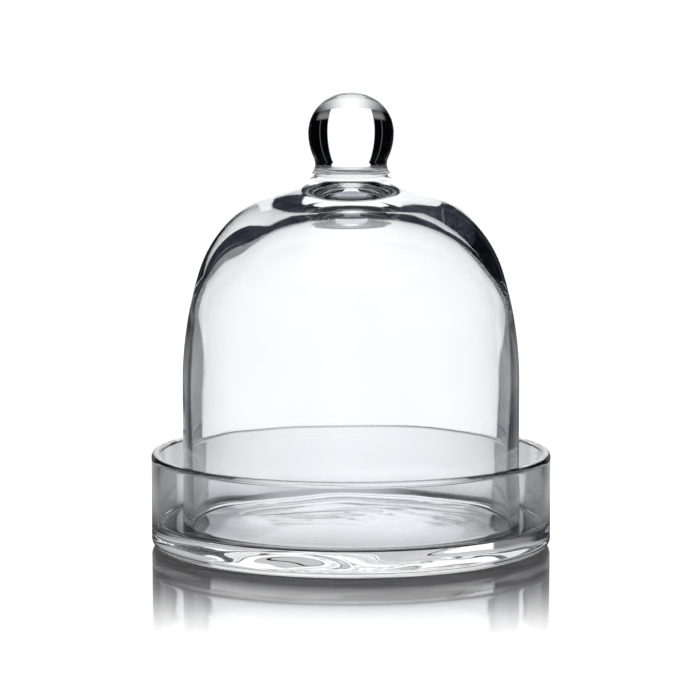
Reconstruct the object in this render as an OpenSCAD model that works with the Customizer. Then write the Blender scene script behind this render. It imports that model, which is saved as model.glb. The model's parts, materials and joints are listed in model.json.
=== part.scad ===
// Glass bell jar: a blown dome with a solid ball knob, standing loose in a shallow thick-based glass tray.
// Millimetres, +Z up, origin at the centre of the tray's underside.

/* [Tray] */
// Outside diameter of the tray
tray_d = 140; // [136:0.5:150]
// Height of the tray's rim above the table
tray_h = 32.2; // [28:0.2:40]
// Thickness of the tray's upright wall
tray_wall = 2.9; // [2.4:0.1:3.6]
// Thickness of the tray's solid base, up to the display floor
tray_base = 8.5; // [6:0.5:10]
// Radius of the outside corner between wall and underside
tray_corner_r = 3; // [2:0.5:4]
// Radius of the inside corner between wall and display floor
tray_fillet_r = 1.6; // [1:0.1:2.4]
// Outside radius of the hollow pushed up into the underside
push_up_r = 58; // [45:1:62]
// Depth of that hollow at the centre
push_up_depth = 1.1; // [0.6:0.1:2]

/* [Dome] */
// Outside diameter of the dome's upright side
dome_d = 118; // [114:0.5:122]
// Thickness of the dome's upright side
dome_wall = 3.4; // [2.8:0.1:4]
// Height of the upright side above the display floor, outside
side_h = 48.8; // [44:0.2:54]
// How much lower the upright side ends inside, which thickens the crown
inner_drop = 2; // [0:0.2:4]

/* [Knob] */
// Diameter of the ball
ball_d = 30; // [29:0.2:32]
// Diameter of the waist under the ball
neck_d = 25.2; // [24:0.2:26.4]
// Diameter of the lip that flares out under the waist
lip_d = 27.4; // [26.8:0.2:28.4]
// Diameter of the round seat under the lip, where the knob is fused to the dome
seat_d = 24.8; // [24:0.2:26]

/* [Hidden] */

GLASS = [0.86, 0.9, 0.93, 0.45];
FACETS = 180;
ARC_STEP = 3; // degrees of arc to each straight piece of an outline

tray_r = tray_d / 2;
rim_bevel_out = 0.9; // ground edge outside the tray's rim
rim_bevel_in = 0.4;  // ground edge inside it

dome_r = dome_d / 2;
dome_edge_r = 0.8; // fire-polished corners of the dome's foot

// The dome's outline above its upright side: [radius, angle where it ends] of the flank and the shoulder.
// A third arc, centred on the axis, closes the crown.
OUTER_FLANK = [131, 17.2];
OUTER_SHOULDER = [44.6, 64.2];
INNER_FLANK = [296, 4.56];
INNER_SHOULDER = [43.3, 84];

// The hollow collar that draws the crown up to the knob's seat: radius where it starts, and its own radius
COLLAR_FROM = 16;
COLLAR_HOLLOW_R = 6.8;

// The knob, from its lip up: the lip's rounded edge, the hollow of the neck, then the ball's two halves
LIP_EDGE_R = 0.3;
NECK_HOLLOW_R = 4.4;
BALL_LOWER_R = 21.3;
BALL_UPPER = [13.9, 60];

ball_r = ball_d / 2;
neck_r = neck_d / 2;
lip_r = lip_d / 2;
seat_r = seat_d / 2;

// Points along an arc, from angle a0 to angle a1
function arc(centre, r, a0, a1) =
    let (n = max(1, round(abs(a1 - a0) / ARC_STEP)))
    [for (i = [0:n]) centre + r * [cos(a0 + (a1 - a0) * i / n), sin(a0 + (a1 - a0) * i / n)]];

// Centre of an arc of radius r2 that carries on smoothly, at angle a, from an arc of radius r1 about c1
function next_centre(c1, r1, r2, a) = c1 + (r1 - r2) * [cos(a), sin(a)];

// Radius of the on-axis arc that closes an outline whose last arc has radius r about c and ends at angle a
function closing_r(c, r, a) = r + c[0] / cos(a);

// [centre of the flank, centre of the shoulder, centre of the crown, radius of the crown] of a bell outline
// whose upright side ends at [side_r, side_z]
function bell_arcs(side_r, side_z, flank, shoulder) =
    let (
        flank_c = [side_r - flank[0], side_z],
        shoulder_c = next_centre(flank_c, flank[0], shoulder[0], flank[1]),
        crown_r = closing_r(shoulder_c, shoulder[0], shoulder[1]),
        crown_c = [0, next_centre(shoulder_c, shoulder[0], crown_r, shoulder[1])[1]]
    )
    [flank_c, shoulder_c, crown_c, crown_r];

// The bell outline itself, from the top of the upright side to radius end_r on the crown
function bell(arcs, flank, shoulder, end_r) =
    concat(
        arc(arcs[0], flank[0], 0, flank[1]),
        arc(arcs[1], shoulder[0], flank[1] + ARC_STEP, shoulder[1]),
        arc(arcs[2], arcs[3], min(shoulder[1] + ARC_STEP, 87), acos(end_r / arcs[3]))
    );

outer_arcs = bell_arcs(dome_r, tray_base + side_h, OUTER_FLANK, OUTER_SHOULDER);
inner_arcs = bell_arcs(dome_r - dome_wall, tray_base + side_h - inner_drop, INNER_FLANK, INNER_SHOULDER);
outer_bell = bell(outer_arcs, OUTER_FLANK, OUTER_SHOULDER, COLLAR_FROM);
inner_bell = bell(inner_arcs, INNER_FLANK, INNER_SHOULDER, 0);

// The collar is tangent to the crown where it starts.
collar_a = acos(COLLAR_FROM / outer_arcs[3]);
collar_c = next_centre(outer_arcs[2], outer_arcs[3], -COLLAR_HOLLOW_R, collar_a);
seat_z = collar_c[1] - sqrt(pow(COLLAR_HOLLOW_R, 2) - pow(collar_c[0] - seat_r, 2));
seat_a = atan2(seat_z - collar_c[1], seat_r - collar_c[0]);

// The neck's hollow starts on the lip's edge, and the ball's lower arc is tangent to it.
lip_z = seat_z + LIP_EDGE_R;
neck_c = [
    neck_r + NECK_HOLLOW_R,
    lip_z + sqrt(pow(NECK_HOLLOW_R, 2) - pow(neck_r + NECK_HOLLOW_R - lip_r, 2))
];
ball_lower_x = ball_r - BALL_LOWER_R;
ball_z = neck_c[1] + sqrt(pow(BALL_LOWER_R + NECK_HOLLOW_R, 2) - pow(neck_c[0] - ball_lower_x, 2));
ball_tangent_a = atan2(neck_c[1] - ball_z, neck_c[0] - ball_lower_x);

module lathe(points) {
    rotate_extrude($fn = FACETS)
        polygon(points);
}

// Shallow thick-based dish: rounded outside corner, filleted inside corner, ground rim, pushed-up underside
module tray() {
    inner_r = tray_r - tray_wall;
    // Radius of the ball that presses the hollow into the underside
    push_r = (pow(push_up_r, 2) + pow(push_up_depth, 2)) / (2 * push_up_depth);
    push_a = asin(push_up_r / push_r);
    underside = [
        for (i = [0:8])
            [push_r * sin(push_a * i / 8), push_up_depth - push_r * (1 - cos(push_a * i / 8))]
    ];
    color(GLASS)
        lathe(concat(
            underside,
            arc([tray_r - tray_corner_r, tray_corner_r], tray_corner_r, -90, 0),
            [
                [tray_r, tray_h - rim_bevel_out],
                [tray_r - rim_bevel_out * 0.5, tray_h],
                [inner_r + rim_bevel_in, tray_h],
                [inner_r, tray_h - rim_bevel_in]
            ],
            arc([inner_r - tray_fillet_r, tray_base + tray_fillet_r], tray_fillet_r, 0, -90),
            [[0, tray_base]]
        ));
}

// Blown shell: thin upright side standing on the tray's floor, heavy crown drawn up to the knob's flat seat
module dome_shell() {
    foot_out = [dome_r - dome_edge_r, tray_base + dome_edge_r];
    foot_in = [dome_r - dome_wall + dome_edge_r, tray_base + dome_edge_r];
    color(GLASS)
        lathe(concat(
            arc(foot_out, dome_edge_r, -90, 0),
            outer_bell,
            arc(collar_c, COLLAR_HOLLOW_R, collar_a - 180 - ARC_STEP, seat_a),
            [[0, seat_z]],
            [for (i = [len(inner_bell) - 1:-1:0]) inner_bell[i]],
            arc(foot_in, dome_edge_r, -180, -90)
        ));
}

// Solid ball on a waisted neck that flares out to a lip; the flat under the lip is fused to the dome
module knob() {
    upper_c = [ball_r - BALL_UPPER[0], ball_z];
    top_r = closing_r(upper_c, BALL_UPPER[0], BALL_UPPER[1]);
    top_c = [0, next_centre(upper_c, BALL_UPPER[0], top_r, BALL_UPPER[1])[1]];
    foot_a = atan2(lip_z - neck_c[1], lip_r - neck_c[0]) + 360;
    color(GLASS)
        lathe(concat(
            [[0, seat_z]],
            arc([lip_r - LIP_EDGE_R, lip_z], LIP_EDGE_R, -90, -10),
            arc(neck_c, NECK_HOLLOW_R, foot_a, 180 + ball_tangent_a),
            arc([ball_lower_x, ball_z], BALL_LOWER_R, ball_tangent_a + ARC_STEP, 0),
            arc(upper_c, BALL_UPPER[0], ARC_STEP, BALL_UPPER[1]),
            arc(top_c, top_r, BALL_UPPER[1] + ARC_STEP, 90)
        ));
}

tray();
dome_shell();
knob();
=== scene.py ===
import json
import math

import bpy
import numpy as np
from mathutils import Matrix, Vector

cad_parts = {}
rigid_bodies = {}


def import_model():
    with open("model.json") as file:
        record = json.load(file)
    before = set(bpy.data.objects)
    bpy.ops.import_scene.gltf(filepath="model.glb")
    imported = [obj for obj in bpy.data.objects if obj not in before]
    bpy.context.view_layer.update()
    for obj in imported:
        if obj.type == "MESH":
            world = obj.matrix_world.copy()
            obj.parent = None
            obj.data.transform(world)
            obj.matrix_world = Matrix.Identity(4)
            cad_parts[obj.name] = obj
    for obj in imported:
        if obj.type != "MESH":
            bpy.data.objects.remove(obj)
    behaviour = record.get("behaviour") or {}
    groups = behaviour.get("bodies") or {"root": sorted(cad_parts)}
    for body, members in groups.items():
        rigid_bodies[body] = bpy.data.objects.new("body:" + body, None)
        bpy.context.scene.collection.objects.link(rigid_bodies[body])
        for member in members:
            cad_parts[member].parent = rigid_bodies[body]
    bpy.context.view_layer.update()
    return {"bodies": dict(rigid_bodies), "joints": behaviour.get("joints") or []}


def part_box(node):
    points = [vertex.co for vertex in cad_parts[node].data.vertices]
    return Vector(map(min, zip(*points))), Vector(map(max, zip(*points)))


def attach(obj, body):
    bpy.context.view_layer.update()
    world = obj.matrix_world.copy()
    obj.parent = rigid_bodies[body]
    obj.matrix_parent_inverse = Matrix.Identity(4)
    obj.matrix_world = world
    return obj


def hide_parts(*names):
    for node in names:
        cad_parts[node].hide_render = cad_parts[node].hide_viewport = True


# The looks of a glass bell jar on its tray. Outlines and relief are in millimetres, like the CAD. Meshes and
# the studio are in metres.

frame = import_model()
MM = 0.001
DEGREE = math.radians(1)

# ---------------------------------------------------------------------------------------------
# Sizes read from the frame
# ---------------------------------------------------------------------------------------------


def box_mm(node):
    """The largest radius and the lowest and highest point of a CAD node."""
    low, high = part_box(node)
    return high.x / MM, low.z / MM, high.z / MM


TRAY_R, _, TRAY_TOP = box_mm("tray")
DOME_R, FLOOR_Z, SEAT_Z = box_mm("dome_shell")

# Sizes that a box doesn't show, as in the CAD
TRAY_WALL = 2.9
TRAY_CORNER_R = 3.0
TRAY_FILLET_R = 1.6
PUSH_UP_R = 58.0
PUSH_UP_DEPTH = 1.1
RIM_BEVEL_OUT = 0.9
RIM_BEVEL_IN = 0.4
DOME_WALL = 3.4
SIDE_TOP_Z = FLOOR_Z + 48.8
INNER_DROP = 2.0
FOOT_EDGE_R = 0.8
OUTER_FLANK = (131.0, 17.2)
OUTER_SHOULDER = (44.6, 64.2)
INNER_FLANK = (296.0, 4.56)
INNER_SHOULDER = (43.3, 84.0)
COLLAR_FROM = 16.0
COLLAR_HOLLOW_R = 6.8
SEAT_R = 12.4
LIP_R = 13.7
LIP_EDGE_R = 0.3
BALL_R = 15.0
NECK_R = 12.6
NECK_HOLLOW_R = 4.4
BALL_LOWER_R = 21.3
BALL_UPPER = (13.9, 60.0)

# ---------------------------------------------------------------------------------------------
# Outlines: lists of (radius, height)
# ---------------------------------------------------------------------------------------------


def arc(centre, r, a0, a1, n):
    """n steps along an arc, from angle a0 to a1 in degrees."""
    a = np.radians(np.linspace(a0, a1, n + 1))
    return np.stack([centre[0] + r * np.cos(a), centre[1] + r * np.sin(a)], axis=1)


def line(p, q, n):
    """n steps along a straight line."""
    t = np.linspace(0.0, 1.0, n + 1)[:, None]
    return np.array(p) * (1 - t) + np.array(q) * t


def next_centre(c, r1, r2, a):
    """Centre of an arc of radius r2 that carries on smoothly, at angle a, from one of radius r1 about c."""
    return (
        c[0] + (r1 - r2) * math.cos(math.radians(a)),
        c[1] + (r1 - r2) * math.sin(math.radians(a)),
    )


def closing_r(c, r, a):
    """Radius of the on-axis arc that carries on smoothly, at angle a, from one of radius r about c."""
    return r + c[0] / math.cos(math.radians(a))


def crown(side_r, side_z, flank, shoulder):
    """Centres of a bell's flank and shoulder, then the centre and radius of its crown."""
    flank_c = (side_r - flank[0], side_z)
    shoulder_c = next_centre(flank_c, flank[0], shoulder[0], flank[1])
    crown_r = closing_r(shoulder_c, shoulder[0], shoulder[1])
    crown_c = (0.0, next_centre(shoulder_c, shoulder[0], crown_r, shoulder[1])[1])
    return flank_c, shoulder_c, crown_c, crown_r


def bell(side_r, side_z, flank, shoulder, end_r, steps):
    """A bell's outline above its upright side, ending on the crown at radius end_r."""
    flank_c, shoulder_c, crown_c, crown_r = crown(side_r, side_z, flank, shoulder)
    end_a = math.degrees(math.acos(end_r / crown_r))
    return [
        arc(flank_c, flank[0], 0, flank[1], steps[0]),
        arc(shoulder_c, shoulder[0], flank[1], shoulder[1], steps[1]),
        arc(crown_c, crown_r, shoulder[1], end_a, steps[2]),
    ]


def collar(steps):
    """The hollow that draws the dome's crown up to the knob's seat."""
    _, _, crown_c, crown_r = crown(DOME_R, SIDE_TOP_Z, OUTER_FLANK, OUTER_SHOULDER)
    a = math.degrees(math.acos(COLLAR_FROM / crown_r))
    centre = next_centre(crown_c, crown_r, -COLLAR_HOLLOW_R, a)
    end_a = -math.degrees(math.acos((SEAT_R - centre[0]) / COLLAR_HOLLOW_R))
    return arc(centre, COLLAR_HOLLOW_R, a - 180, end_a, steps)


def joined(stretches):
    """One outline from stretches that end where the next begins."""
    return np.concatenate([stretches[0]] + [s[1:] for s in stretches[1:]])


# ---------------------------------------------------------------------------------------------
# Turned meshes with the unevenness of hand-made glass
# ---------------------------------------------------------------------------------------------


def waves(seed, length, count=14, stretch=(1.0, 1.0, 1.0)):
    """A smooth, seeded, uneven field of places in mm, mostly from -1 to 1, with waves about length long."""
    rng = np.random.default_rng(seed)
    way = rng.normal(size=(count, 3))
    way /= np.linalg.norm(way, axis=1, keepdims=True)
    way *= 2 * math.pi / (length * rng.uniform(0.7, 1.6, count))[:, None]
    way /= np.array(stretch)
    phase = rng.uniform(0, 2 * math.pi, count)

    def field(p):
        return np.sin(p @ way.T + phase).sum(axis=-1) / math.sqrt(count / 2)

    return field


def step(value, low, high):
    """0 up to low, 1 from high, and smooth between. It runs downwards if low is above high."""
    t = np.clip((value - low) / (high - low), 0.0, 1.0)
    return t * t * (3 - 2 * t)


def outward(outline):
    """Unit normals of an outline that runs anticlockwise, with r to the right and z up."""
    along = np.gradient(outline, axis=0)
    normal = np.stack([along[:, 1], -along[:, 0]], axis=1)
    normal[0], normal[-1] = (0, np.sign(normal[0, 1])), (0, np.sign(normal[-1, 1]))
    return normal / np.linalg.norm(normal, axis=1, keepdims=True)


def turned(name, outline, sectors, relief):
    """A closed mesh turned about Z from an outline in mm that starts and ends on the axis. relief gives, for
    points and their normals, how far each is shifted."""
    rings = len(outline)
    normal = outward(outline)
    turn = np.linspace(0, 2 * math.pi, sectors, endpoint=False)
    cos, sin = np.cos(turn)[None, :], np.sin(turn)[None, :]
    flat = outline[:, 0][:, None]
    p = np.stack([flat * cos, flat * sin, np.repeat(outline[:, 1][:, None], sectors, 1)], axis=-1)
    side = normal[:, 0][:, None]
    n = np.stack([side * cos, side * sin, np.repeat(normal[:, 1][:, None], sectors, 1)], axis=-1)
    p = p + relief(p, n)
    ends = [p[0].mean(axis=0), p[-1].mean(axis=0)]
    verts = np.concatenate([ends[:1], p[1:-1].reshape(-1, 3), ends[1:]]) * MM
    last = len(verts) - 1
    top = 1 + (rings - 3) * sectors
    pairs = [(j, (j + 1) % sectors) for j in range(sectors)]
    faces = []
    for j, k in pairs:
        faces.append((0, 1 + k, 1 + j))
        faces.append((last, top + j, top + k))
    for i in range(rings - 3):
        a, b = 1 + i * sectors, 1 + (i + 1) * sectors
        faces += [(a + j, a + k, b + k, b + j) for j, k in pairs]
    mesh = bpy.data.meshes.new(name)
    mesh.from_pydata(verts.tolist(), [], faces)
    mesh.shade_smooth()
    mesh.update()
    piece = bpy.data.objects.new(name, mesh)
    bpy.context.scene.collection.objects.link(piece)
    return piece


def tray_outline():
    """The tray, from the middle of its underside out, up its wall and back in over its floor."""
    inner_r = TRAY_R - TRAY_WALL
    push_r = (PUSH_UP_R**2 + PUSH_UP_DEPTH**2) / (2 * PUSH_UP_DEPTH)
    push_a = math.degrees(math.asin(PUSH_UP_R / push_r))
    corner = (TRAY_R - TRAY_CORNER_R, TRAY_CORNER_R)
    fillet = (inner_r - TRAY_FILLET_R, FLOOR_Z + TRAY_FILLET_R)
    rim = [
        (TRAY_R, TRAY_TOP - RIM_BEVEL_OUT),
        (TRAY_R - RIM_BEVEL_OUT * 0.5, TRAY_TOP),
        (inner_r + RIM_BEVEL_IN, TRAY_TOP),
        (inner_r, TRAY_TOP - RIM_BEVEL_IN),
    ]
    return joined([
        arc((0.0, PUSH_UP_DEPTH - push_r), push_r, 90, 90 - push_a, 24),
        line((PUSH_UP_R, 0.0), (corner[0], 0.0), 6),
        arc(corner, TRAY_CORNER_R, -90, 0, 16),
        line((TRAY_R, TRAY_CORNER_R), rim[0], 24),
        line(rim[0], rim[1], 4),
        line(rim[1], rim[2], 4),
        line(rim[2], rim[3], 3),
        line(rim[3], (inner_r, fillet[1]), 20),
        arc(fillet, TRAY_FILLET_R, 0, -90, 12),
        line((fillet[0], FLOOR_Z), (0.0, FLOOR_Z), 60),
    ])


def dome_outline():
    """The dome, from the top of its inside down to its foot, then up its outside to the knob's seat."""
    side_in = DOME_R - DOME_WALL
    side_in_top = SIDE_TOP_Z - INNER_DROP
    foot_out = (DOME_R - FOOT_EDGE_R, FLOOR_Z + FOOT_EDGE_R)
    foot_in = (side_in + FOOT_EDGE_R, FLOOR_Z + FOOT_EDGE_R)
    inner = bell(side_in, side_in_top, INNER_FLANK, INNER_SHOULDER, 0.0, (24, 36, 40))
    outer = bell(DOME_R, SIDE_TOP_Z, OUTER_FLANK, OUTER_SHOULDER, COLLAR_FROM, (24, 40, 12))
    down = [stretch[::-1] for stretch in reversed(inner)]
    foot = [
        line((side_in, side_in_top), (side_in, foot_in[1]), 16),
        arc(foot_in, FOOT_EDGE_R, 180, 270, 6),
        line((foot_in[0], FLOOR_Z), (foot_out[0], FLOOR_Z), 2),
        arc(foot_out, FOOT_EDGE_R, 270, 360, 6),
        line((DOME_R, foot_out[1]), (DOME_R, SIDE_TOP_Z), 16),
    ]
    return joined(down + foot + outer + [collar(12), line((SEAT_R, SEAT_Z), (0.0, SEAT_Z), 8)])


def knob_outline():
    """The knob, from the middle of its seat out to its lip, in to its neck and up over the ball."""
    lip_z = SEAT_Z + LIP_EDGE_R
    neck_x = NECK_R + NECK_HOLLOW_R
    neck_c = (neck_x, lip_z + math.sqrt(NECK_HOLLOW_R**2 - (neck_x - LIP_R) ** 2))
    lower_x = BALL_R - BALL_LOWER_R
    ball_z = neck_c[1] + math.sqrt((BALL_LOWER_R + NECK_HOLLOW_R) ** 2 - (neck_c[0] - lower_x) ** 2)
    tangent_a = math.degrees(math.atan2(neck_c[1] - ball_z, neck_c[0] - lower_x))
    lip_a = math.degrees(math.atan2(lip_z - neck_c[1], LIP_R - neck_c[0])) + 360
    upper_c = (BALL_R - BALL_UPPER[0], ball_z)
    top_r = closing_r(upper_c, *BALL_UPPER)
    top_c = (0.0, next_centre(upper_c, BALL_UPPER[0], top_r, BALL_UPPER[1])[1])
    return joined([
        line((0.0, SEAT_Z), (SEAT_R, SEAT_Z), 8),
        line((SEAT_R, SEAT_Z), (LIP_R - LIP_EDGE_R, SEAT_Z), 3),
        arc((LIP_R - LIP_EDGE_R, lip_z), LIP_EDGE_R, -90, 0, 6),
        arc(neck_c, NECK_HOLLOW_R, lip_a, 180 + tangent_a, 24),
        arc((lower_x, ball_z), BALL_LOWER_R, tangent_a, 0, 20),
        arc(upper_c, BALL_UPPER[0], 0, BALL_UPPER[1], 30),
        arc(top_c, top_r, BALL_UPPER[1], 90, 20),
    ])


# ---------------------------------------------------------------------------------------------
# Materials
# ---------------------------------------------------------------------------------------------


IOR = 1.5
GLASS = (0.99, 0.995, 1.0, 1)
DEEP_GLASS = (0.975, 0.983, 1.0, 1)
DARK = (0.0012, 0.0012, 0.002, 1)
FULL = (1.0, 1.0, 1.0, 1)
FLOW_SCALE, FLOW_DEPTH = 55.0, 0.00002
HAZE_SCALE = 30.0
# Ramps, here and in the studio: two places on a scale, then the values there where they aren't 0 and 1
TINT_SHARE = (0.35, 0.65)
HAZE = (0.45, 0.75, 0.0, 0.012)
# Painted shade: for rays from the floor's mirror only, the tray's colour darkens towards its contact and at
# its two ends, as a painted contact shadow in its mirror image.
CONTACT_SHADE = (0.002, 0.018, 0.002, 1.0)
ENDS_SHADE = (0.046, 0.066, 1.0, 0.4)


class Graph:
    """A short way to write a node tree."""

    def __init__(self, tree):
        self.tree = tree
        tree.nodes.clear()

    def node(self, kind, **settings):
        made = self.tree.nodes.new(kind)
        for key, value in settings.items():
            setattr(made, key, value)
        return made

    def feed(self, socket, value):
        """Links a socket to another node's output, or sets its own value."""
        if isinstance(value, bpy.types.NodeSocket):
            self.tree.links.new(value, socket)
        else:
            socket.default_value = value

    def math(self, operation, *values):
        made = self.node("ShaderNodeMath", operation=operation)
        for socket, value in zip(made.inputs, values):
            self.feed(socket, value)
        return made.outputs[0]

    def product(self, first, *others):
        """Several values multiplied together."""
        for value in others:
            first = self.math("MULTIPLY", first, value)
        return first

    def ramp(self, value, low, high, to_low=0.0, to_high=1.0):
        """A smooth step of value from low to high."""
        made = self.node("ShaderNodeMapRange", interpolation_type="SMOOTHSTEP")
        for socket, v in zip(made.inputs, (value, low, high, to_low, to_high)):
            self.feed(socket, v)
        return made.outputs[0]

    def mix(self, share, a, b):
        """A mix of two colours."""
        made = self.node("ShaderNodeMix", data_type="RGBA")
        self.feed(made.inputs[0], share)
        self.feed(made.inputs[6], a)
        self.feed(made.inputs[7], b)
        return made.outputs[2]

    def blend(self, share, a, b):
        """A mix of two shaders."""
        made = self.node("ShaderNodeMixShader")
        self.feed(made.inputs[0], share)
        self.feed(made.inputs[1], a)
        self.feed(made.inputs[2], b)
        return made.outputs[0]

    def noise(self, vector, scale, detail):
        made = self.node("ShaderNodeTexNoise")
        self.feed(made.inputs["Vector"], vector)
        made.inputs["Scale"].default_value = scale
        made.inputs["Detail"].default_value = detail
        return made.outputs[0]

    def glow(self, colour):
        made = self.node("ShaderNodeEmission")
        self.feed(made.inputs["Color"], colour)
        return made.outputs[0]

    def mirror(self, roughness):
        made = self.node("ShaderNodeBsdfGlossy")
        made.inputs["Color"].default_value = FULL
        made.inputs["Roughness"].default_value = roughness
        return made.outputs[0]

    def clear(self):
        return self.node("ShaderNodeBsdfTransparent").outputs[0]

    def place(self):
        return self.node("ShaderNodeNewGeometry").outputs["Position"]

    def in_mirror(self):
        """1 for a ray whose one bounce so far was off something glossy, such as the floor."""
        path = self.node("ShaderNodeLightPath")
        first = self.math("LESS_THAN", path.outputs["Ray Depth"], 1.5)
        return self.product(path.outputs["Is Glossy Ray"], first)

    def split(self, vector):
        """The x, y and z of a vector."""
        made = self.node("ShaderNodeSeparateXYZ")
        self.feed(made.inputs[0], vector)
        return tuple(made.outputs)

    def scaled(self, vector, scale):
        """A vector stretched by scale along x, y and z."""
        made = self.node("ShaderNodeVectorMath", operation="MULTIPLY")
        self.feed(made.inputs[0], vector)
        made.inputs[1].default_value = scale
        return made.outputs[0]

    def from_camera(self, vector):
        """How far a vector runs to the camera's right, away from it, and up in the world."""
        seen = self.node("ShaderNodeVectorTransform", vector_type="VECTOR")
        seen.convert_from, seen.convert_to = "WORLD", "CAMERA"
        self.feed(seen.inputs[0], vector)
        aside, _, behind = self.split(seen.outputs[0])
        return aside, behind, self.split(vector)[2]

    def show(self, shader, kind="ShaderNodeOutputMaterial"):
        out = self.node(kind)
        self.feed(out.inputs["Surface"], shader)


def new_material(name):
    """A material, and the graph of its empty node tree."""
    material = bpy.data.materials.new(name)
    material.use_nodes = True
    return material, Graph(material.node_tree)


def painted_mirror_shade(g, tint):
    """A tint with painted shade: it turns dark where the floor mirrors a piece's foot and two ends, a painted
    contact shadow in the reflection.
    """
    aside, _, height = g.from_camera(g.place())
    contact = g.ramp(height, *CONTACT_SHADE)
    ends = g.ramp(g.math("ABSOLUTE", aside), *ENDS_SHADE)
    return g.mix(g.in_mirror(), tint, g.mix(g.product(contact, ends), DARK, tint))


def clear_glass(name, flow, painted_foot_shade=False):
    """Clear glass with faint flow lines, stretched by flow, and slightly uneven polish and tint. With the
    foot shade set, painted shade in its colour darkens its mirror image in the floor towards the contact and
    its ends."""
    material, g = new_material(name)
    ways = g.node("ShaderNodeTexCoord").outputs["Object"]
    lines = g.noise(g.scaled(ways, flow), FLOW_SCALE, 3.0)
    patches = g.noise(ways, HAZE_SCALE, 2.0)
    bump = g.node("ShaderNodeBump")
    bump.inputs["Distance"].default_value = FLOW_DEPTH
    g.feed(bump.inputs["Height"], lines)
    tint = g.mix(g.ramp(lines, *TINT_SHARE), GLASS, DEEP_GLASS)
    surface = g.node("ShaderNodeBsdfPrincipled")
    surface.inputs["IOR"].default_value = IOR
    surface.inputs["Transmission Weight"].default_value = 1.0
    g.feed(surface.inputs["Normal"], bump.outputs[0])
    g.feed(surface.inputs["Roughness"], g.ramp(patches, *HAZE))
    # Painted shade: with the foot shade set, the base colour turns dark near the foot and ends, only for rays
    # from the floor's mirror
    g.feed(surface.inputs["Base Color"], painted_mirror_shade(g, tint) if painted_foot_shade else tint)
    g.show(surface.outputs[0])
    return material


def fused_seam(name):
    """Where knob and dome are melted into one: no surface is left to see."""
    material, g = new_material(name)
    g.show(g.clear())
    return material


# ---------------------------------------------------------------------------------------------
# Pieces
# ---------------------------------------------------------------------------------------------


# How deep each unevenness is, and how long its waves are
CROWN_SEED = 3
CROWN_FLOW, CROWN_LENGTH = 0.08, 60.0
SIDE_FLOW, SIDE_LENGTH = 0.06, 30.0
INSIDE_OF = (0.0, 0.0, 60.0)  # the inside of the dome faces this place
CROWN_FROM, CROWN_TO = 75.0, 100.0  # heights between which the side's flow gives way to the crown's
# Shallow presses inside the crown: turn from the front in degrees, distance from the axis, size and depth
PRESSES = ((-57.0, 44.0, 13.0, 0.35), (100.0, 24.0, 10.0, 0.5))

TRAY_SEED = 11
RIM_RISE = 0.9
WALL_FLOW, WALL_LENGTH = 0.03, 26.0
BASE_FLOW, BASE_LENGTH, BASE_SINK = 0.3, 45.0, 1.2
SWIRL_AT = (2.0, 8.0)
SWIRL_DEPTH, SWIRL_STEP, SWIRL_REACH = 0.16, 15.0, 24.0
SWIRL_BEND, SWIRL_ROLL = 2.0, 0.2


def no_relief(p, n):
    return np.zeros(p.shape)


def pressed(p):
    """How deep the presses inside the crown are at each point."""
    depth = 0.0
    for turn, out, size, most in PRESSES:
        a = math.radians(turn)
        away = (p[..., 0] - out * math.sin(a)) ** 2 + (p[..., 1] + out * math.cos(a)) ** 2
        depth = depth + most * np.exp(-away / size**2)
    return depth


def dome_relief(p, n):
    """The dome is uneven inside, most of all in its heavy crown, and true outside and at its foot."""
    inside = (n * (p - np.array(INSIDE_OF))).sum(axis=-1) < 0
    off_foot = step(p[..., 2], FLOOR_Z + 1.0, FLOOR_Z + 13.0)
    in_crown = step(p[..., 2], CROWN_FROM, CROWN_TO)
    crown_flow = CROWN_FLOW * waves(CROWN_SEED, CROWN_LENGTH, 10)(p)
    side_flow = SIDE_FLOW * waves(CROWN_SEED + 90, SIDE_LENGTH, 16, (1.0, 1.0, 3.0))(p)
    amount = in_crown * (crown_flow + pressed(p)) + off_foot * (1 - in_crown) * side_flow
    return n * np.where(inside, amount, 0.0)[..., None]


def swirl(p):
    """The swirl in the middle of the tray's floor, with a slow roll under it."""
    x, y = p[..., 0] - SWIRL_AT[0], p[..., 1] - SWIRL_AT[1]
    off = np.hypot(x, y)
    bend = SWIRL_BEND * waves(TRAY_SEED + 2, 45.0)(p)
    rings = np.sin(2 * math.pi * off / SWIRL_STEP + np.arctan2(y, x) + bend)
    rings = rings * np.exp(-((off / SWIRL_REACH) ** 2)) * step(off, 0.0, 4.0)
    return rings + SWIRL_ROLL * waves(TRAY_SEED + 3, 40.0, 16)(p)


def tray_relief(p, n):
    """The tray is uneven under its base, faintly so in its wall, and swirled in the middle of its floor. Its
    rim rises at the back. Its foot and the ring that the dome stands on stay true."""
    height, radius = p[..., 2], np.hypot(p[..., 0], p[..., 1])
    upright = np.abs(n[..., 2]) < 0.5
    off_ends = step(height, 3.0, 9.0) * step(height, TRAY_TOP - 2.0, TRAY_TOP - 12.0)
    wall_flow = WALL_FLOW * waves(TRAY_SEED, WALL_LENGTH, 16, (1.0, 1.0, 4.0))(p)
    amount = np.where(upright, wall_flow * off_ends, 0.0)
    on_floor = (n[..., 2] > 0.5) & (height < FLOOR_Z + 0.1)
    amount = np.where(on_floor, SWIRL_DEPTH * swirl(p) * step(radius, 50.0, 38.0), amount)
    under = (n[..., 2] < -0.5) & (radius < PUSH_UP_R)
    base_flow = BASE_FLOW * (waves(TRAY_SEED + 4, BASE_LENGTH, 20)(p) - BASE_SINK)
    amount = np.where(under, base_flow * step(radius, PUSH_UP_R, PUSH_UP_R - 8.0), amount)
    moved = n * amount[..., None]
    near_rim = step(height, TRAY_TOP - 6.0, TRAY_TOP - 1.0)
    moved[..., 2] += RIM_RISE * near_rim * step(p[..., 1], -TRAY_R, TRAY_R)
    return moved


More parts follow.
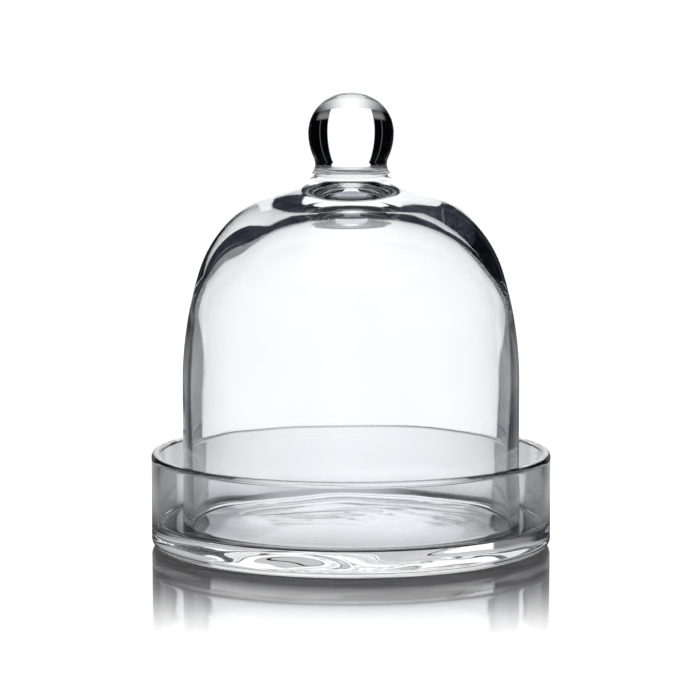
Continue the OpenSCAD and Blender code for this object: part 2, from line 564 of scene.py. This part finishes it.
def paint_seat(piece, seam):
    """Gives the faces of the fused seat the seam material."""
    piece.data.materials.append(seam)
    for face in piece.data.polygons:
        level = all(abs(piece.data.vertices[v].co.z - SEAT_Z * MM) < 1e-6 for v in face.vertices)
        if level and math.hypot(face.center.x, face.center.y) < SEAT_R * MM:
            face.material_index = 1


def glass_piece(name, outline, sectors, relief, glass, node, body):
    """One piece of glass that stands for a CAD node and moves with its body."""
    piece = turned(name, outline, sectors, relief)
    piece.data.materials.append(glass)
    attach(piece, body)
    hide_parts(node)
    return piece


def build_pieces():
    tray_glass = clear_glass("tray_clear_glass", (0.5, 0.5, 1.0), painted_foot_shade=True)
    dome_glass = clear_glass("dome_clear_glass", (1.0, 1.0, 0.3))
    knob_glass = clear_glass("knob_clear_glass", (0.6, 0.6, 1.0))
    seam = fused_seam("fused_seam")
    glass_piece(
        "tray_glass_dish", tray_outline(), 384, tray_relief, tray_glass, "tray", "tray"
    )
    dome = glass_piece(
        "dome_blown_shell", dome_outline(), 384, dome_relief, dome_glass, "dome_shell", "dome"
    )
    knob = glass_piece(
        "knob_solid_ball", knob_outline(), 256, no_relief, knob_glass, "knob", "dome"
    )
    paint_seat(dome, seam)
    paint_seat(knob, seam)


# ---------------------------------------------------------------------------------------------
# Studio
# ---------------------------------------------------------------------------------------------


NAVY = (0.012, 0.013, 0.022, 1)
PALE_NAVY = (0.05, 0.053, 0.07, 1)
SKY = (0.42, 0.44, 0.49, 1)
WHITE = (1.17, 1.17, 1.17, 1)

TENT_R = 0.3
TENT_LOW, TENT_TOP = -0.35, 0.6
# How far the bright panel reaches from the middle, its top and its dimmer foot, then the same for the grey
# strips low at its sides
PANEL_WIDTH = (23.1 * DEGREE, 21.9 * DEGREE)
PANEL_TOP = (0.307, 0.283)
PANEL_FOOT = (-0.06, 0.01, 0.68, 1.0)
SIDE_WIDTH = (48 * DEGREE, 36 * DEGREE, 0.0, 0.2)
SIDE_TOP = (0.07, 0.05)
SIDE_FOOT = (0.0, 0.04, 0.4, 1.0)
# A thin upright line of light on each dark screen
LINE_AT = 34 * DEGREE
LINE_WIDTH = (1.1 * DEGREE, 0.3 * DEGREE, 0.0, 0.1)
# Seen from below the knob, the screens look patchy navy up to a height where they turn black. Seen from the
# knob, they look black.
NAVY_SCALE, NAVY_SHARE = 45.0, (0.3, 0.7)
BELOW_KNOB = (SEAT_Z * MM - 0.003, SEAT_Z * MM - 0.006)
NAVY_TOP = (0.5, 0.42)
SKY_HEIGHT = (TENT_TOP - 0.1, TENT_TOP)
SKY_WIDTH = (0.2, 0.08)

FLOOR_R = 4.0
FLOOR_SKIN = 0.0002  # a ray that sets off lower than this comes from the floor
SHINE, SHINE_ROUGHNESS = (0.085, 0.19, 0.95, 0.0), 0.06
# The table that glass sees glows with painted light and shade: its gloss, its painted light beside, behind
# and under the tray, darkest close round it, and how fast that falls sideways. The ring is a painted shadow
# under the tray's edge, and it ends towards the back.
TABLE_R = 0.29
TABLE_IOR, TABLE_ROUGHNESS = 1.45, 0.05
TABLE_FALL = 0.125
GLOSS_FROM = (0.07, 0.15)
BESIDE_OUT = (0.07, 0.18, 0.03, 0.97)
BESIDE_FRONT = (-0.25, 0.0, 0.15, 1.0)
BACK_DEPTH = (0.04, 0.07, 0.0, 0.52)
BACK_WIDTH = (0.055, 0.025)
BACK_RIGHT = (0.035, 0.005)
UNDER_DEPTH = (-0.06, 0.03, 0.45, 1.0)
UNDER_EDGE = (0.047, 0.044, 0.15, 1.0)
UNDER_SIDE = (0.044, 0.03, 0.7, 1.0)
RING_WIDTH = (0.063, 0.052, 0.03, 1.0)
RING_END = (0.02, 0.04)


def backdrop():
    """Everything the camera sees past the object is white."""
    world = bpy.data.worlds.new("backdrop")
    bpy.context.scene.world = world
    world.use_nodes = True
    world.cycles.sampling_method = "NONE"
    g = Graph(world.node_tree)
    light = g.node("ShaderNodeBackground")
    g.feed(light.inputs["Color"], WHITE)
    g.show(light.outputs[0], "ShaderNodeOutputWorld")


def tent_light(g, azimuth, height):
    """How brightly the tent's wall is lit, from 0 to 1."""
    under_top = g.ramp(height, *PANEL_TOP)
    panel = g.product(g.ramp(azimuth, *PANEL_WIDTH), under_top, g.ramp(height, *PANEL_FOOT))
    side = g.product(
        g.ramp(azimuth, *SIDE_WIDTH), g.ramp(height, *SIDE_TOP), g.ramp(height, *SIDE_FOOT)
    )
    off_line = g.math("ABSOLUTE", g.math("SUBTRACT", azimuth, LINE_AT))
    thin = g.product(g.ramp(off_line, *LINE_WIDTH), under_top)
    return g.math("MAXIMUM", panel, g.math("MAXIMUM", side, thin))


def tent_dark(g, place, aside, height, seen_from):
    """The colour of the tent's dark cloth, with the soft light overhead."""
    navy = g.mix(g.ramp(g.noise(place, NAVY_SCALE, 2.0), *NAVY_SHARE), NAVY, PALE_NAVY)
    navy_share = g.product(g.ramp(seen_from, *BELOW_KNOB), g.ramp(height, *NAVY_TOP))
    reach = g.math("ABSOLUTE", aside)
    overhead = g.product(g.ramp(height, *SKY_HEIGHT), g.ramp(reach, *SKY_WIDTH))
    return g.mix(overhead, g.mix(navy_share, DARK, navy), SKY)


def tent():
    """What the glass sees around it: a bright panel straight behind, dark screens beside it, a dim grey strip
    low at the sides and a soft light overhead. It turns with the camera. The camera sees through it, and so
    does the mirror in the floor."""
    outline = joined([
        line((0.0, TENT_LOW), (TENT_R, TENT_LOW), 2),
        line((TENT_R, TENT_LOW), (TENT_R, TENT_TOP), 2),
        line((TENT_R, TENT_TOP), (0.0, TENT_TOP), 2),
    ]) / MM
    walls = turned("studio_tent", outline, 128, no_relief)
    walls.data.shade_flat()
    material, g = new_material("tent_cloth")
    material.cycles.emission_sampling = "NONE"
    walls.data.materials.append(material)
    geometry = g.node("ShaderNodeNewGeometry")
    path = g.node("ShaderNodeLightPath")
    place = geometry.outputs["Position"]
    aside, behind, height = g.from_camera(place)
    azimuth = g.math("ABSOLUTE", g.math("ARCTAN2", aside, behind))
    # The height that a ray set off from
    back = g.node("ShaderNodeVectorMath", operation="SCALE")
    g.feed(back.inputs[0], geometry.outputs["Incoming"])
    g.feed(back.inputs["Scale"], path.outputs["Ray Length"])
    seen_from = g.math("ADD", height, g.split(back.outputs[0])[2])
    in_floor = g.product(g.in_mirror(), g.math("LESS_THAN", seen_from, FLOOR_SKIN))
    hidden = g.math("MAXIMUM", path.outputs["Is Camera Ray"], in_floor)
    dark = tent_dark(g, place, aside, height, seen_from)
    lit = g.glow(g.mix(tent_light(g, azimuth, height), dark, WHITE))
    g.show(g.blend(hidden, lit, g.clear()))


def sheet_shader(g, distance):
    """The floor as the camera sees it: white, with the object's mirror image fading outwards."""
    return g.blend(g.ramp(distance, *SHINE), g.glow(WHITE), g.mirror(SHINE_ROUGHNESS))


def table_light(g, distance, aside, behind, under):
    """How brightly the table that glass sees is lit, from 0 to 1: painted light and painted shade, with a
    painted shadow ring under the tray's edge.
    """
    reach = g.math("ABSOLUTE", aside)
    beside = g.product(g.ramp(distance, *BESIDE_OUT), g.ramp(behind, *BESIDE_FRONT))
    back = g.product(
        g.ramp(behind, *BACK_DEPTH), g.ramp(reach, *BACK_WIDTH), g.ramp(aside, *BACK_RIGHT)
    )
    ring = g.math("MAXIMUM", g.ramp(distance, *RING_WIDTH), g.ramp(behind, *RING_END))
    below = g.product(
        g.ramp(behind, *UNDER_DEPTH), g.ramp(reach, *UNDER_EDGE), g.ramp(reach, *UNDER_SIDE), ring
    )
    around = g.product(g.math("SUBTRACT", 1.0, under), g.math("MAXIMUM", beside, back))
    share = g.math("DIVIDE", aside, TABLE_FALL)
    fall = g.math("POWER", math.e, g.product(share, share, -1.0))
    return g.product(fall, g.math("ADD", g.product(under, below), around))


def table_shader(g, place, distance):
    """The floor as glass sees it: a small table that glows with painted light, glossy except close round the
    tray, where its gloss is dropped for a painted contact shadow, and that darkens towards its sides and
    front. Past its edge glass sees through it."""
    aside, behind, _ = g.from_camera(place)
    under = g.math("LESS_THAN", distance, TRAY_R * MM)
    # Painted light: the table's top glows with its painted light and shade instead of being lit
    top = g.glow(g.mix(table_light(g, distance, aside, behind, under), DARK, WHITE))
    fresnel = g.node("ShaderNodeFresnel")
    fresnel.inputs["IOR"].default_value = TABLE_IOR
    gloss = g.product(fresnel.outputs[0], g.math("MAXIMUM", under, g.ramp(distance, *GLOSS_FROM)))
    table = g.blend(gloss, top, g.mirror(TABLE_ROUGHNESS))
    return g.blend(g.math("GREATER_THAN", distance, TABLE_R), table, g.clear())


def floor():
    """A glossy white sheet for the camera, and a small table with painted light and shade for the glass."""
    mesh = bpy.data.meshes.new("studio_floor")
    corners = [(x * FLOOR_R, y * FLOOR_R, 0.0) for x, y in ((-1, -1), (1, -1), (1, 1), (-1, 1))]
    mesh.from_pydata(corners, [], [(0, 1, 2, 3)])
    plane = bpy.data.objects.new("studio_floor", mesh)
    bpy.context.scene.collection.objects.link(plane)
    material, g = new_material("white_gloss_sheet")
    mesh.materials.append(material)
    place = g.place()
    length = g.node("ShaderNodeVectorMath", operation="LENGTH")
    g.feed(length.inputs[0], place)
    distance = length.outputs["Value"]
    camera_sees = g.node("ShaderNodeLightPath").outputs["Is Camera Ray"]
    g.show(g.blend(camera_sees, table_shader(g, place, distance), sheet_shader(g, distance)))


CAMERA_BACK = 1.0
CAMERA_UP = 0.1775
CAMERA_TILT = 6.23
CAMERA_LENS = 147.75
CAMERA_ASIDE = -0.00035
LIFT_BACK, LIFT_UP = 0.45, 0.104  # how far the camera goes while the dome is lifted all the way
BOUNCES = 32


def camera():
    """A long lens a metre away, a little above the object. It draws back as the dome is lifted."""
    data = bpy.data.cameras.new("camera")
    data.lens = CAMERA_LENS
    data.clip_end = 20.0
    eye = bpy.data.objects.new("camera", data)
    bpy.context.scene.collection.objects.link(eye)
    eye.location = (CAMERA_ASIDE, -CAMERA_BACK, CAMERA_UP)
    eye.rotation_euler = (math.radians(90 - CAMERA_TILT), 0, 0)
    bpy.context.scene.camera = eye
    follow = eye.constraints.new("TRANSFORM")
    follow.target = frame["bodies"]["dome"]
    lift = frame["joints"][0]["range_m"][1]
    follow.map_from, follow.map_to = "LOCATION", "LOCATION"
    follow.from_max_z = lift
    follow.map_to_x_from, follow.map_to_y_from, follow.map_to_z_from = "X", "Z", "Z"
    follow.to_max_y, follow.to_max_z = -LIFT_BACK, LIFT_UP
    follow.mix_mode = "ADD"


def picture():
    """Plain colours and enough bounces for glass behind glass."""
    scene = bpy.context.scene
    scene.view_settings.view_transform = "Standard"
    scene.cycles.max_bounces = BOUNCES
    scene.cycles.transmission_bounces = BOUNCES
    scene.cycles.glossy_bounces = 12
    scene.cycles.transparent_max_bounces = 16
    scene.cycles.caustics_refractive = True
    scene.cycles.caustics_reflective = True
    scene.cycles.sample_clamp_indirect = 0


build_pieces()
backdrop()
tent()
floor()
camera()
picture()
